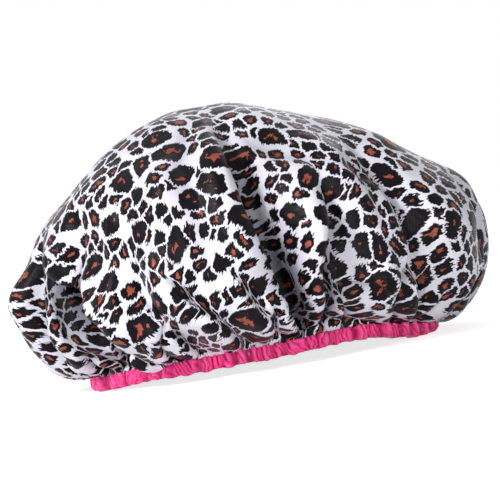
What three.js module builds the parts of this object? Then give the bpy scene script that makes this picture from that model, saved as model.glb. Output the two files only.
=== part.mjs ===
// Bouffant shower cap: a satin crown over a waterproof lining. Both are gathered into a ruched satin binding,
// and a flat elastic runs round inside the binding. The cap keeps the shape that it has on a head.
// Millimetres, +Z up. The cap stands on its binding with the opening down, and the origin is on that plane under
// the middle of the crown. +X is the forehead's end, -X the nape's, and -Y the side with the deepest fold.

import * as THREE from "three";

// The opening, along the middle of the binding, as wide as an adult head keeps it.
const openingLength = 202;
const openingWidth = 162;

// The flat elastic, and the lap where its two ends are sewn together at the nape.
const elasticHeight = 5.6;
const elasticThickness = 0.8;
const elasticLap = 14;
const elasticLapAngle = 180;
const elasticSteps = 96;

// The two cloths, the gap that keeps the layers apart, and the room on each side of the elastic.
const crownWall = 0.7;
const liningWall = 0.5;
const layerGap = 0.35;
const elasticRoom = 0.65;

// The binding: a satin strip folded into a channel with an open top. Its gathers stand out as ribs, and its lip
// rises a little at each.
const bindingWall = 0.8;
const lipAboveElastic = 1.85;
const rawEdgeAboveFloor = 1;
const gatherCount = 92;
const gatherDepth = 1.1;
const gatherLipRise = 0.5;
const gatherHeightShare = 0.55;

// The bouffant: how far it stands out past the opening, how high its widest place lies, and how square its
// shoulder is, each at the forehead's end, the far side, the nape's end and the near side.
const crownHeight = 154;
const crownTopBack = 12;
const overhang = { forehead: 44, far: 42, nape: 41, near: 43 };
const bulgeHeight = { forehead: 52, far: 58, nape: 61, near: 56 };
const squarenessShares = { forehead: 1.72, far: 1.9, nape: 1.46, near: 2.3 };

// The cloth rises out of the channel for a short way, then turns out, sags beside the binding and swells up to
// the widest place. On the near side it is drawn straight up instead, so its sag is less than none.
const neckRise = 2.6;
const sag = { forehead: 18, far: 3, nape: 10, near: -9 };
const tuckOutShares = { forehead: 0.6, far: 0.5, nape: 0.6, near: 0.36 };
const tuckHighShare = 0.7;

// The main folds, anticlockwise from the forehead. Each row gives the angle at which a valley leaves the
// binding, the degrees that it drifts on its way up, its depth as a share of foldDepth, and how far up the dome
// it reaches, as a share of the way.
const foldDepth = 20;
const foldsWithDepthAndReachShares = [
  [3, 3, 0.5, 0.4],
  [26, -3, 0.6, 0.5],
  [53, 4, 0.5, 0.4],
  [79, -4, 0.7, 0.55],
  [104, 3, 0.5, 0.45],
  [130, -4, 0.6, 0.5],
  [159, 4, 0.55, 0.45],
  [193, 5, 0.6, 0.4],
  [216, 5, 1, 0.45],
  [236, -6, 0.4, 0.35],
  [254, -14, 0.5, 0.4],
  [270, -10, 0.4, 0.95],
  [283, -8, 1, 0.9],
  [298, -4, 0.6, 0.5],
  [310, -3, 0.4, 0.75],
  [323, -8, 0.85, 0.55],
  [343, 2, 0.5, 0.4],
];
const shoulderShare = 0.33;
const ridgeLiftShare = 0.2;
const neckFoldShare = 0.16;
const driftEndShare = 0.3;
const foldTurnShare = 0.8;

// Rows of the cloth's mesh: shares of the way through the tuck, and of the quarter turn over the dome.
const tuckRowShares = [0.3, 0.65, 1];
const domeRowShares = [0.15, 0.3, 0.45, 0.6, 0.75, 0.89];

const satin = { color: 0xe9e7f0, roughness: 0.42, metalness: 0 };
const film = { color: 0xdfe3e6, roughness: 0.3, metalness: 0 };
const pinkSatin = { color: 0xe2447f, roughness: 0.38, metalness: 0 };
const webbing = { color: 0xf2f1ec, roughness: 0.8, metalness: 0 };

const { degToRad, lerp, smoothstep } = THREE.MathUtils;
const UP = new THREE.Vector3(0, 0, 1);

// Distances out from the opening's ellipse, and heights, that the pieces in the channel share.
const cloths = crownWall + layerGap + liningWall;
const channelHalf = (layerGap + cloths + elasticRoom + elasticThickness + elasticRoom) / 2;
const crownFaceOut = channelHalf - layerGap;
const elasticFaceOut = crownFaceOut - cloths - elasticRoom;
const elasticLow = bindingWall + layerGap;
const bindingHeight = elasticLow + elasticHeight + lipAboveElastic;

const mouthRow = 1;
const neckRow = 2;
const bulgeRow = neckRow + tuckRowShares.length;
const lastRow = bulgeRow + domeRowShares.length;
const crownTop = new THREE.Vector3(-crownTopBack, 0, crownHeight);

// A value that is given at the four ends of the cap, blended round it.
function roundTheCap(ends, angle) {
  const c = Math.cos(angle);
  const s = Math.sin(angle);
  return c * c * (c > 0 ? ends.forehead : ends.nape) + s * s * (s > 0 ? ends.far : ends.near);
}

// A point of the opening's ellipse, moved out square to it by a distance.
function ringPoint(angle, out, z) {
  const a = openingLength / 2;
  const b = openingWidth / 2;
  const c = Math.cos(angle);
  const s = Math.sin(angle);
  const square = new THREE.Vector2(b * c, a * s).normalize();
  return new THREE.Vector3(a * c + out * square.x, b * s + out * square.y, z);
}

// The angle at a share of the way round the opening, so that steps are evenly spaced along it.
const opening = new THREE.EllipseCurve(0, 0, openingLength / 2, openingWidth / 2);
opening.arcLengthDivisions = 2000;
function angleAt(wayShare) {
  return opening.getUtoTmapping(wayShare) * 2 * Math.PI;
}

function tuckWay(row) {
  return row <= neckRow ? 0 : tuckRowShares[row - neckRow - 1];
}

function domeWay(row) {
  return row <= bulgeRow ? 0 : domeRowShares[row - bulgeRow - 1];
}

// A point of the crown's outer face before it is folded. Row 0 is the raw edge inside the channel.
function basePoint(angle, row) {
  if (row === 0) return ringPoint(angle, crownFaceOut, bindingWall + rawEdgeAboveFloor);
  if (row === mouthRow) return ringPoint(angle, crownFaceOut, bindingHeight);
  const reach = roundTheCap(overhang, angle);
  const high = roundTheCap(bulgeHeight, angle);
  if (row < bulgeRow) {
    const neck = new THREE.Vector2(crownFaceOut, bindingHeight + neckRise);
    const widest = new THREE.Vector2(reach, high);
    const tuckedOut = lerp(neck.x, reach, roundTheCap(tuckOutShares, angle));
    const sagging = new THREE.Vector2(tuckedOut, neck.y - roundTheCap(sag, angle));
    const swelling = new THREE.Vector2(reach, lerp(high, neck.y, tuckHighShare));
    const tuck = new THREE.CubicBezierCurve(neck, sagging, swelling, widest).getPoint(tuckWay(row));
    return ringPoint(angle, tuck.x, tuck.y);
  }
  const turn = (domeWay(row) * Math.PI) / 2;
  const power = 2 / roundTheCap(squarenessShares, angle);
  const bulge = ringPoint(angle, reach, high);
  const point = crownTop.clone().lerp(bulge, Math.cos(turn) ** power);
  point.z = lerp(high, crownTop.z, Math.sin(turn) ** power);
  return point;
}

// How strongly a fold shows on a row: not in the channel, in full at the widest place, and not past its reach.
function foldStrength(row, reachShare) {
  if (row <= mouthRow) return 0;
  if (row <= bulgeRow) return lerp(neckFoldShare, 1, smoothstep(tuckWay(row), 0, 1));
  return 1 - smoothstep(domeWay(row), reachShare / 4, reachShare);
}

// A base point pushed towards the middle of the cap, level at the widest place and downwards on the dome.
function folded(angle, row, depthShare) {
  const inward = new THREE.Vector3(-Math.cos(angle), -Math.sin(angle), -domeWay(row) * foldTurnShare);
  return basePoint(angle, row).addScaledVector(inward.normalize(), depthShare * foldDepth);
}

// The folded outer face: for each fold a column in its valley and one on each shoulder of the puff after it.
function foldedFace() {
  const rows = Array.from({ length: lastRow + 1 }, (_, row) => {
    const way = smoothstep(row <= bulgeRow ? tuckWay(row) : 1 + domeWay(row), 0, 1 + driftEndShare);
    return foldsWithDepthAndReachShares.flatMap((fold, i, folds) => {
      const next = folds[(i + 1) % folds.length];
      const valley = fold[0] + fold[1] * way;
      const nextValley = next[0] + next[1] * way + (i + 1 < folds.length ? 0 : 360);
      const lift = -ridgeLiftShare * Math.min(fold[2], next[2]);
      const liftStrength = foldStrength(row, Math.max(fold[3], next[3]));
      return [
        folded(degToRad(valley), row, fold[2] * foldStrength(row, fold[3])),
        folded(degToRad(lerp(valley, nextValley, shoulderShare)), row, lift * liftStrength),
        folded(degToRad(lerp(nextValley, valley, shoulderShare)), row, lift * liftStrength),
      ];
    });
  });
  return { rows, top: crownTop };
}

// The face moved in by a distance square to its facets, which stand upright inside the channel.
const leastCosineShare = 0.6;
function movedIn(face, distance) {
  const { rows, top } = face;
  const count = rows[0].length;
  const at = (row, i) => (row < rows.length ? rows[row][(i + count) % count] : top);
  const facet = (row, i) => {
    const low = row <= mouthRow ? 0 : row;
    const across = at(low + 1, i + 1).clone().sub(at(low, i));
    return across.cross(at(low + 1, i).clone().sub(at(low, i + 1))).normalize();
  };
  const moved = rows.map((ring, row) =>
    ring.map((point, i) => {
      const below = Math.max(row - 1, 0);
      const around = [facet(row, i), facet(row, i - 1), facet(below, i), facet(below, i - 1)];
      const outward = around.reduce((sum, normal) => sum.add(normal), new THREE.Vector3()).normalize();
      const least = Math.min(...around.map((normal) => normal.dot(outward)));
      return point.clone().addScaledVector(outward, -distance / Math.max(least, leastCosineShare));
    }),
  );
  return { rows: moved, top: top.clone().addScaledVector(UP, -distance) };
}

// A closed cloth between an outer and an inner face with the same rows, joined round the raw edge.
function clothGeometry(outer, inner) {
  const count = outer.rows[0].length;
  const rings = outer.rows.length;
  const points = [...outer.rows.flat(), outer.top, ...inner.rows.flat(), inner.top];
  const innerStart = rings * count + 1;
  const index = [];
  const onBothFaces = (a, b, c) => index.push(a, b, c, innerStart + a, innerStart + c, innerStart + b);
  for (let i = 0; i < count; i++) {
    const j = (i + 1) % count;
    for (let low = 0; low < (rings - 1) * count; low += count) {
      onBothFaces(low + i, low + j, low + count + j);
      onBothFaces(low + i, low + count + j, low + count + i);
    }
    const last = (rings - 1) * count;
    onBothFaces(last + i, last + j, rings * count);
    index.push(j, i, innerStart + i, j, innerStart + i, innerStart + j);
  }
  return indexed(points, index);
}

// A closed ring swept round the opening through one closed outline for each step.
function ringGeometry(outlines) {
  const size = outlines[0].length;
  const index = [];
  outlines.forEach((outline, step) => {
    const here = step * size;
    const next = ((step + 1) % outlines.length) * size;
    for (let i = 0; i < size; i++) {
      const j = (i + 1) % size;
      index.push(here + i, here + j, next + j, here + i, next + j, next + i);
    }
  });
  return indexed(outlines.flat(), index);
}

function indexed(points, index) {
  const geometry = new THREE.BufferGeometry().setFromPoints(points);
  geometry.setIndex(index);
  geometry.computeVertexNormals();
  return geometry;
}

// How much of the second thickness of elastic lies at an angle: all of it on the lap, tapering off beside it.
function lapShare(angle) {
  const meanRadius = (openingLength + openingWidth) / 4;
  const arc = Math.abs(angle - degToRad(elasticLapAngle)) * meanRadius;
  return 1 - smoothstep(arc, elasticLap / 2, elasticLap);
}

// The binding's folded section: down the outside, along the foot, up the head side and back through the channel.
// It makes room for the elastic's lap, and a rib stands out by the depth of a gather.
function bindingOutline(angle, isRib) {
  const headSide = channelHalf + lapShare(angle) * elasticThickness;
  const gather = isRib ? gatherDepth : 0;
  const lip = bindingHeight + (isRib ? gatherLipRise : 0);
  const belly = bindingHeight * gatherHeightShare;
  const section = [
    [channelHalf, lip],
    [channelHalf + bindingWall, lip],
    [channelHalf + bindingWall + gather, belly],
    [channelHalf + bindingWall / 2, 0],
    [-headSide - bindingWall / 2, 0],
    [-headSide - bindingWall - gather, belly],
    [-headSide - bindingWall, lip],
    [-headSide, lip],
    [-headSide, bindingWall],
    [channelHalf, bindingWall],
  ];
  return section.map(([out, z]) => ringPoint(angle, out, z));
}

function hemBinding() {
  const steps = gatherCount * 2;
  return ringGeometry(Array.from({ length: steps }, (_, i) => bindingOutline(angleAt(i / steps), i % 2 === 0)));
}

function elasticOutline(angle) {
  const headFaceOut = elasticFaceOut - elasticThickness * (1 + lapShare(angle));
  const section = [
    [elasticFaceOut, elasticLow + elasticHeight],
    [elasticFaceOut, elasticLow],
    [headFaceOut, elasticLow],
    [headFaceOut, elasticLow + elasticHeight],
  ];
  return section.map(([out, z]) => ringPoint(angle, out, z));
}

function hemElastic() {
  return ringGeometry(Array.from({ length: elasticSteps }, (_, i) => elasticOutline(angleAt(i / elasticSteps))));
}

function piece(name, geometry, finish) {
  const mesh = new THREE.Mesh(geometry, new THREE.MeshStandardMaterial(finish));
  mesh.name = name;
  return mesh;
}

const outerFace = foldedFace();
const crown = clothGeometry(outerFace, movedIn(outerFace, crownWall));
const lining = clothGeometry(movedIn(outerFace, crownWall + layerGap), movedIn(outerFace, cloths));

const cap = new THREE.Group();
cap.add(piece("outer_crown", crown, satin));
cap.add(piece("inner_lining", lining, film));
cap.add(piece("hem_binding", hemBinding(), pinkSatin));
cap.add(piece("hem_elastic", hemElastic(), webbing));

// The crown stands out unevenly, so the group is moved until the crown's middle is over the origin.
crown.computeBoundingBox();
const middle = crown.boundingBox.getCenter(new THREE.Vector3());
cap.position.set(-middle.x, -middle.y, 0);

export default cap;
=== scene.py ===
import math

import bpy
import numpy as np
from mathutils import Matrix, Vector


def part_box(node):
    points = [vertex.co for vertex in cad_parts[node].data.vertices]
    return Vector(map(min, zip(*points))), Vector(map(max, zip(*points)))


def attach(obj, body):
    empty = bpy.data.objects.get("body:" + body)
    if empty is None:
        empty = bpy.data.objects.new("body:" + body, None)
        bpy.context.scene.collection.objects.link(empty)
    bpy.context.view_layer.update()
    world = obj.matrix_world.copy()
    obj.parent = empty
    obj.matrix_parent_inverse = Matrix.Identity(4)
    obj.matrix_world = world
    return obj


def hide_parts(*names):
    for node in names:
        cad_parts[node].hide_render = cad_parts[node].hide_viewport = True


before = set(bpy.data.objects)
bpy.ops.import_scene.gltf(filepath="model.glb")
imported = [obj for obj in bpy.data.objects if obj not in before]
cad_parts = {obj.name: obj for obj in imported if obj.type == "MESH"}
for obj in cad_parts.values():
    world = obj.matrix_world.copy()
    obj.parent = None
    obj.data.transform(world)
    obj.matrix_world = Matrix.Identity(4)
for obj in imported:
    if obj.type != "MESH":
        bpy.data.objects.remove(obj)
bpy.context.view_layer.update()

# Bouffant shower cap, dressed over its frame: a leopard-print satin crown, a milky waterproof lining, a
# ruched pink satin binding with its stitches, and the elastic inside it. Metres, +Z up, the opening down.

bl_info = {
    "name": "Bouffant Shower Cap",
    "version": (1, 0, 0),
    "blender": (4, 5, 0),
    "location": "3D View > Sidebar > Cap",
    "description": "Dresses a gathered satin shower cap over its solid frame",
    "category": "Object",
}

CROWN_LOW, CROWN_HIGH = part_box("outer_crown")
BAND_LOW, BAND_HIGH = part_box("hem_binding")
CENTRE = (BAND_LOW + BAND_HIGH) / 2
MM = 0.001


def linear(hex_colour):
    """An sRGB hex colour as linear red, green, blue and full alpha."""
    parts = [int(hex_colour[i:i + 2], 16) / 255 for i in (1, 3, 5)]
    return tuple(c / 12.92 if c <= 0.04045 else ((c + 0.055) / 1.055) ** 2.4 for c in parts) + (1.0,)


def length(name, description, default):
    return bpy.props.FloatProperty(name=name, description=description, default=default, precision=5,
                                   unit="LENGTH", subtype="DISTANCE")


def colour(name, description, hex_colour):
    return bpy.props.FloatVectorProperty(name=name, description=description, subtype="COLOR", size=4,
                                         min=0, max=1, default=linear(hex_colour))


class CapSizes(bpy.types.PropertyGroup):
    cloth_radius: length("Cloth radius", "Radius of the satin disc before it is gathered", 0.255)
    fold_depth: length("Fold depth", "Depth of the deepest main fold before the cloth settles", 22 * MM)
    swell: length("Swell", "How far the cloth's folds swell past its first shape as it settles", 0.5 * MM)
    hem_lift: length("Hem lift", "How far the near side of the hem is drawn up at a share of 1", 7.7 * MM)
    band_thickness: length("Band thickness", "The ruched binding across, over its ribs", 8.2 * MM)
    channel_width: length("Channel width", "Room between the binding's two walls", 4.4 * MM)
    ruche_pitch: length("Ruche pitch", "Spacing of the binding's gathers", 3.3 * MM)
    ruche_depth: length("Ruche depth", "Height of a gather over the groove beside it", 2.7 * MM)
    stitch_pitch: length("Stitch pitch", "Spacing of the stitches along the binding", 3.1 * MM)
    thread: length("Thread", "Thickness of the sewing thread", 0.32 * MM)
    lining_gap: length("Lining gap", "How far the lining hangs inside the satin", 1.5 * MM)
    large_spot: length("Large spot", "Spacing of the print's large spots", 20 * MM)
    small_spot: length("Small spot", "Spacing of the print's small spots", 10.3 * MM)
    camera_distance: length("Camera distance", "From the camera to the middle of the cap", 1.1)


class CapColours(bpy.types.PropertyGroup):
    ground: colour("Ground", "White satin between the spots", "#F0EFFA")
    spot: colour("Spot", "Near-black ring of a spot", "#0A070C")
    heart: colour("Heart", "Rust heart of a spot", "#A85A48")
    pink: colour("Pink", "Satin of the binding", "#FF4798")
    film: colour("Film", "Milky lining", "#E6EAEC")
    webbing: colour("Webbing", "Woven elastic", "#F2F0EA")


def add_node(tree, kind, inputs=None, **settings):
    """Adds a node, makes its settings, and fills or links its inputs by name or number. An input that is
    given a node is linked to that node's first output."""
    node = tree.nodes.new("ShaderNode" + kind)
    for name, value in settings.items():
        setattr(node, name, value)
    for name, value in (inputs or {}).items():
        if isinstance(value, bpy.types.Node):
            value = value.outputs[0]
        if isinstance(value, bpy.types.NodeSocket):
            tree.links.new(value, node.inputs[name])
        else:
            node.inputs[name].default_value = value
    return node


def new_material(name):
    """A material with an empty tree, and the tree."""
    material = bpy.data.materials.new(name)
    material.use_nodes = True
    material.node_tree.nodes.clear()
    return material, material.node_tree


def flat_place(tree, scale):
    """The place on a piece's flat cloth, in millimetres."""
    uv = add_node(tree, "UVMap", uv_map=CLOTH_UV)
    return add_node(tree, "Mapping", {"Vector": uv, "Scale": (scale,) * 3})


# The cap's surface before it settles, from the same driving sizes as the frame's solids. Where there are four
# values, they are for the forehead's end, the far side, the nape's end and the near side.
BULGE_HIGH = (62 * MM, 58 * MM, 57.4 * MM, 56 * MM)
SQUARENESS = (1.5, 1.89, 1.41, 2.29)
SAG = (16.4 * MM, 3 * MM, 8 * MM, -9 * MM)
TUCK_OUT = (0.3, 0.5, 0.3, 0.36)
TUCK_HIGH = 0.7
CHANNEL_FACE = 1.7 * MM
NECK_HIGH = 11.2 * MM
RAW_EDGE_HIGH = 2.4 * MM
TOP_BACK = 22.6 * MM
TOP_STANDS = 1.8 * MM
# The hem's lift: degrees round the opening, and the share of the size "Hem lift" there.
HEM_LIFT = [(0, 0), (195, 0), (235, 0.45), (268, 0.62), (298, 0.82), (334, 0), (360, 0)]

# The binding, with the turns of its section where the lips end and the stitches run, and its elastic.
BAND_TALL = 9.1 * MM
GROOVE_WALL = 0.25 * MM
LIP_TURN = math.radians(58)
STITCH_TURNS = (math.radians(46), -math.radians(226))
ELASTIC_FACE = -0.35 * MM
ELASTIC_THICK = 0.8 * MM
# How far the binding wanders from its ring and its foot waves, and what its lowest points clear the floor by.
BAND_WANDER, FOOT_WAVE, FOOT_CLEAR = 0.3 * MM, 0.35 * MM, 0.05 * MM

# A place on the cloth is the degrees round the opening, anticlockwise from the forehead, and the share of the
# way from the middle of the cloth to its edge. From this share on, the cloth is down in the binding.
NECK = 0.955

# Main folds: the angle at the binding, the degrees that the fold drifts on its way up, its depth as a share
# of the deepest, and how far up the dome it reaches, as a share of the way.
MAIN_FOLDS = [
    (3, 3, 0.5, 0.4), (26, -3, 0.6, 0.5), (53, 4, 0.5, 0.4), (79, -4, 0.7, 0.55), (104, 3, 0.5, 0.45),
    (130, -4, 0.6, 0.5), (159, 4, 0.55, 0.45), (193, 5, 0.6, 0.4), (216, 5, 1, 0.45), (236, -6, 0.4, 0.35),
    (254, -14, 0.5, 0.4), (270, -10, 0.4, 0.95), (283, -8, 1, 0.9), (298, -4, 0.6, 0.5),
    (310, -3, 0.4, 0.75), (323, -8, 0.85, 0.55), (343, 2, 0.5, 0.4),
]
# Creases: a sharp valley with a steep wall to a ridge on one side and a gentle slope on the other. Each has
# its depth, the width of its wall and of its slope, in millimetres, and the places along its valley. A line
# that runs down has its wall on the left.
CREASES = [
    (3, 10, 16, [(272, 0.15), (263, 0.33), (259, 0.42), (256, 0.55)]),
    (11, 5, 18, [(271, 0.26), (271.5, 0.47), (272, 0.57), (274, 0.64), (276, 0.7), (278.5, 0.77), (281, 0.86),
                 (282, NECK)]),
    (9, 4, 11, [(296, 0.56), (292, 0.65), (289.6, 0.7), (288, 0.76), (288.5, 0.9), (289, NECK)]),
    (8, 3.5, 10, [(318, 0.7), (311, 0.77), (307.6, 0.82), (310, 0.9), (313, NECK)]),
    (6, 3, 8, [(323, 0.76), (319, 0.82), (318.5, 0.86), (321.6, 0.93), (322, NECK)]),
    (7, 3.5, 9, [(344, 0.74), (340, 0.845), (344, 0.92), (345, NECK)]),
    (19, 5, 22, [(231, NECK), (232, 0.9), (232, 0.8), (224, 0.7), (214, 0.62), (205, 0.54)]),
    (4, 4, 8, [(211, 0.63), (213, 0.75), (214, 0.85), (216, NECK)]),
    (7, 3.5, 11, [(247, 0.66), (252, 0.7), (255, 0.75), (259.5, 0.8), (261.5, 0.86), (263, NECK)]),
    (6.5, 3.5, 9, [(262, 0.68), (267, 0.73), (269.4, 0.78), (271.6, 0.83), (274, 0.93), (274.5, NECK)]),
    (6, 2.5, 7, [(306, 0.85), (302, 0.81), (297, 0.798), (291, 0.772)]),
    (4, 10, 30, [(276, 0.26), (281, 0.39), (288, 0.455), (301, 0.52), (312, 0.56), (321, 0.6)]),
]
# Outside these degrees each main fold has one crease: the depth at the deepest fold, the wall and the slope.
NEAR_SIDE = (196, 340)
FAR_CREASE = (9 * MM, 5 * MM, 13 * MM)
# Small pleats all round: how far one stands off its even place as a share of the spacing, its lean and the
# room it leaves other creases' feet, in degrees, the share where it starts, and its sizes in millimetres.
PLEAT_COUNT, PLEAT_OFF, PLEAT_LEAN, PLEAT_CLEAR = 52, 0.32, 7, 2.6
PLEAT_TOP, PLEAT_DEPTH, PLEAT_WALL, PLEAT_SLOPE = (0.7, 0.87), (4.5, 9), (2, 3), (4, 7)
# A ridge's height and its lean over the valley as shares of the crease's depth, and the share of a crease's
# length over which an open end fades.
RIDGE_HIGH, RIDGE_LEAN, OPEN_END = 0.4, 0.45, 0.3
# In shares of the way from the cloth's middle to its edge: how far above its line a crease is still felt, and
# how far down it has to run for its ridge to lean in full.
CREASE_MARGIN, LEANING_DROP = 0.08, 0.1
# How far the cloth above the binding stands out between its pleats.
PLUMP = 2.2 * MM
# A main fold's width in degrees before and after its valley, and the crumples' number, wave lengths and depth
# as a share of the wave length.
FOLD_WIDE_BEFORE, FOLD_WIDE_AFTER = 3.5, 6
CRUMPLE_COUNT, CRUMPLE_WAVES, CRUMPLE_DEPTH = 60, (30 * MM, 75 * MM), 0.0065

FOLD_SEED, RUCHE_SEED, RIPPLE_SEED = 5, 23, 31
CLOTH_RINGS = 64
PRINT_ROWS, PRINT_COLUMNS = 129, 2048
# The width of a gather's pull on the print as a share of the way round, and the pull that the rest has.
GATHER_WIDTH, EVEN_PULL = 0.022, 0.05
SETTLE_FRAMES = 30
SETTLE_SCALE = 10
# How much of the creases' depth is there before the cloth settles; the rest is put in sharp afterwards.
SETTLED_SHARE = 0.45
# The cloth is held fast where its climb is below the first of these, and elsewhere with this weight.
HELD_BELOW, LOOSE_WEIGHT = -0.2, 0.2
# The UV map, and the values of each vertex by which the materials paint shade into the crown's gathers and
# the binding's grooves, and paint a highlight on the binding's ribs.
CLOTH_UV, PAINTED_SHADE, RIB = "cloth", "tuck", "rib"


def eased(value, low, high):
    """0 up to low, 1 from high on, and a smooth step between them."""
    t = np.clip((value - low) / (high - low), 0, 1)
    return t * t * (3 - 2 * t)


def around(ends, angle):
    """A measure at an angle, blended from those at the opening's four ends."""
    c, s = np.cos(angle), np.sin(angle)
    return c * c * np.where(c > 0, ends[0], ends[2]) + s * s * np.where(s > 0, ends[1], ends[3])


def wrapped(degrees):
    """The same turn between -180 and 180 degrees."""
    return (degrees + 180) % 360 - 180


def on_circle(way):
    """Points of the unit circle at shares of the way round it."""
    return np.stack([np.cos(2 * np.pi * way), np.sin(2 * np.pi * way)], -1)


def ring_radii(sizes):
    """Half the opening's length and width, along the middle of the binding."""
    half = (BAND_HIGH - BAND_LOW) / 2
    return half.x - sizes.band_thickness / 2, half.y - sizes.band_thickness / 2


def overhang(sizes):
    """How far the crown stands out past the opening at its four ends."""
    a, b = ring_radii(sizes)
    past = (CROWN_HIGH.x - CENTRE.x - a, CROWN_HIGH.y - CENTRE.y - b,
            CENTRE.x - a - CROWN_LOW.x, CENTRE.y - b - CROWN_LOW.y)
    return [reach - sizes.swell for reach in past]


def hem_lift(sizes, angle):
    """How far the hem is drawn up: only on the near side, and most towards the forehead."""
    degrees = np.degrees(angle) % 360
    places, shares = np.array(HEM_LIFT).T
    before = np.clip(np.searchsorted(places, degrees) - 1, 0, len(places) - 2)
    way = eased(degrees, places[before], places[before + 1])
    return sizes.hem_lift * (shares[before] * (1 - way) + shares[before + 1] * way)


def ring_point(sizes, angle, out, high):
    """A point of the opening's ellipse, moved out square to it, and the direction out."""
    a, b = ring_radii(sizes)
    c, s = np.cos(angle), np.sin(angle)
    size = np.hypot(b * c, a * s)
    square = np.stack([b * c / size, a * s / size, 0 * c], -1)
    foot = np.stack([CENTRE.x + a * c, CENTRE.y + b * s, 0 * c + high], -1)
    return foot + square * np.reshape(out, (-1, 1)), square


def hem_point(sizes, angle, out, high):
    """A point of the hem's pieces, drawn up with the hem."""
    return ring_point(sizes, angle, out, high + hem_lift(sizes, angle))


def ring_walk(sizes):
    """Angles round the opening's ellipse, and the length walked along it up to each."""
    a, b = ring_radii(sizes)
    angle = np.linspace(0, 2 * np.pi, 4001)
    steps = np.hypot(np.diff(a * np.cos(angle)), np.diff(b * np.sin(angle)))
    return angle, np.concatenate([[0], np.cumsum(steps)])


def angle_at(sizes, way):
    """The ellipse's angle at a share of the way round it, evenly spaced along its length."""
    angle, walked = ring_walk(sizes)
    return np.interp(way, walked / walked[-1], angle)


def ring_length(sizes):
    return float(ring_walk(sizes)[1][-1])


def crown_point(sizes, angle, climb):
    """The unfolded crown. Climb is -1 at the raw edge, 0 at the neck, 1 where it is widest, 2 at the top."""
    reach, high = around(overhang(sizes), angle), around(BULGE_HIGH, angle)
    way = np.clip(climb, 0, 1)
    left = 1 - way
    shares = np.stack([left ** 3, 3 * left ** 2 * way, 3 * left * way ** 2, way ** 3])
    tucked = CHANNEL_FACE + around(TUCK_OUT, angle) * (reach - CHANNEL_FACE)
    outs = np.stack([0 * reach + CHANNEL_FACE, tucked, reach, reach])
    highs = np.stack([0 * high + NECK_HIGH, NECK_HIGH - around(SAG, angle),
                      high + TUCK_HIGH * (NECK_HIGH - high), high])
    rise = (shares * highs).sum(0)
    rise = np.where(climb < 0, NECK_HIGH + climb * (NECK_HIGH - RAW_EDGE_HIGH), rise)
    rise = rise + hem_lift(sizes, angle) * left ** 1.5
    tuck, _ = ring_point(sizes, angle, (shares * outs).sum(0), rise)
    turn = np.clip(climb - 1, 0, 1) * np.pi / 2
    power = 2 / around(SQUARENESS, angle)
    inward = np.cos(turn).clip(1e-9) ** power
    upward = np.sin(turn).clip(0) ** power
    widest, _ = ring_point(sizes, angle, reach, high)
    dome = np.stack([CENTRE.x - TOP_BACK + (widest[:, 0] - CENTRE.x + TOP_BACK) * inward,
                     CENTRE.y + (widest[:, 1] - CENTRE.y) * inward,
                     high + (CROWN_HIGH.z + TOP_STANDS - high) * upward], -1)
    return np.where((climb > 1)[:, None], dome, tuck)


def cloth_disc(rings):
    """A disc of quads: ring k has 8k points. Gives each point's share of the radius and of the way round."""
    share, way = [0.0], [0.0]
    starts = [0]
    for k in range(1, rings + 1):
        starts.append(len(share))
        share += [k / rings] * (8 * k)
        way += [j / (8 * k) for j in range(8 * k)]

    def point(a, b):
        k = max(abs(a), abs(b))
        if k == 0:
            return 0
        if a == k and b < k:
            j = b
        elif b == k and a > -k:
            j = 2 * k - a
        elif a == -k and b > -k:
            j = 4 * k - b
        else:
            j = 6 * k + a
        return starts[k] + j % (8 * k)

    steps = range(-rings, rings)
    faces = [(point(a, b), point(a + 1, b), point(a + 1, b + 1), point(a, b + 1))
             for a in steps for b in steps]
    return np.array(share), np.array(way), faces


def cloth_climb(sizes, share, angle):
    """Where each point of the disc lies on its meridian, with the cloth's lengths kept in proportion."""
    climbs = np.concatenate([np.linspace(2, 1, 60), np.linspace(1, 0, 40)[1:], [-1]])
    table = np.stack([crown_point(sizes, angle, np.full(len(angle), c)) for c in climbs], 1)
    walked = np.cumsum(np.linalg.norm(np.diff(table, axis=1), axis=2), 1)
    walked = np.concatenate([np.zeros((len(angle), 1)), walked], 1)
    return np.array([np.interp(s * w[-1], w, climbs) for s, w in zip(share, walked)])


def crumples(flat):
    """How far each point of the flat cloth is moved by waves of random length, direction and phase."""
    rng = np.random.default_rng(FOLD_SEED)
    made = np.zeros(len(flat))
    for _ in range(CRUMPLE_COUNT):
        wave = rng.uniform(*CRUMPLE_WAVES)
        heading = rng.uniform(0, 2 * np.pi)
        across = flat[:, 0] * np.cos(heading) + flat[:, 1] * np.sin(heading)
        made += wave * CRUMPLE_DEPTH * np.sin(2 * np.pi * (across / wave + rng.uniform()))
    return made


def all_creases():
    """The near side's creases, one at each main fold elsewhere, and small pleats all round the binding."""
    creases = [(depth * MM, wall * MM, slope * MM, line) for depth, wall, slope, line in CREASES]
    deepest, wall, slope = FAR_CREASE
    for at, drift, depth, reach in MAIN_FOLDS:
        if not NEAR_SIDE[0] < at < NEAR_SIDE[1]:
            line = [(at + drift, 0.62 - 0.35 * reach), (at + 0.7 * drift, 0.72), (at, NECK)]
            creases.append((deepest * depth, wall, slope, line))
    feet = np.array([max(line, key=lambda place: place[1])[0] for _, _, _, line in creases])
    rng = np.random.default_rng(FOLD_SEED)
    for i in range(PLEAT_COUNT):
        at = 360 * (i + rng.uniform(-PLEAT_OFF, PLEAT_OFF)) / PLEAT_COUNT
        lean, top = rng.uniform(-PLEAT_LEAN, PLEAT_LEAN), rng.uniform(*PLEAT_TOP)
        depth, wall = rng.uniform(*PLEAT_DEPTH) * MM, rng.uniform(*PLEAT_WALL) * MM
        if np.abs(wrapped(feet - at)).min() > PLEAT_CLEAR:
            line = [(at + lean, top), (at + 0.3 * lean, 0.5 * (top + NECK)), (at, NECK)]
            creases.append((depth, wall, rng.uniform(*PLEAT_SLOPE) * MM, line))
    return creases


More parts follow.
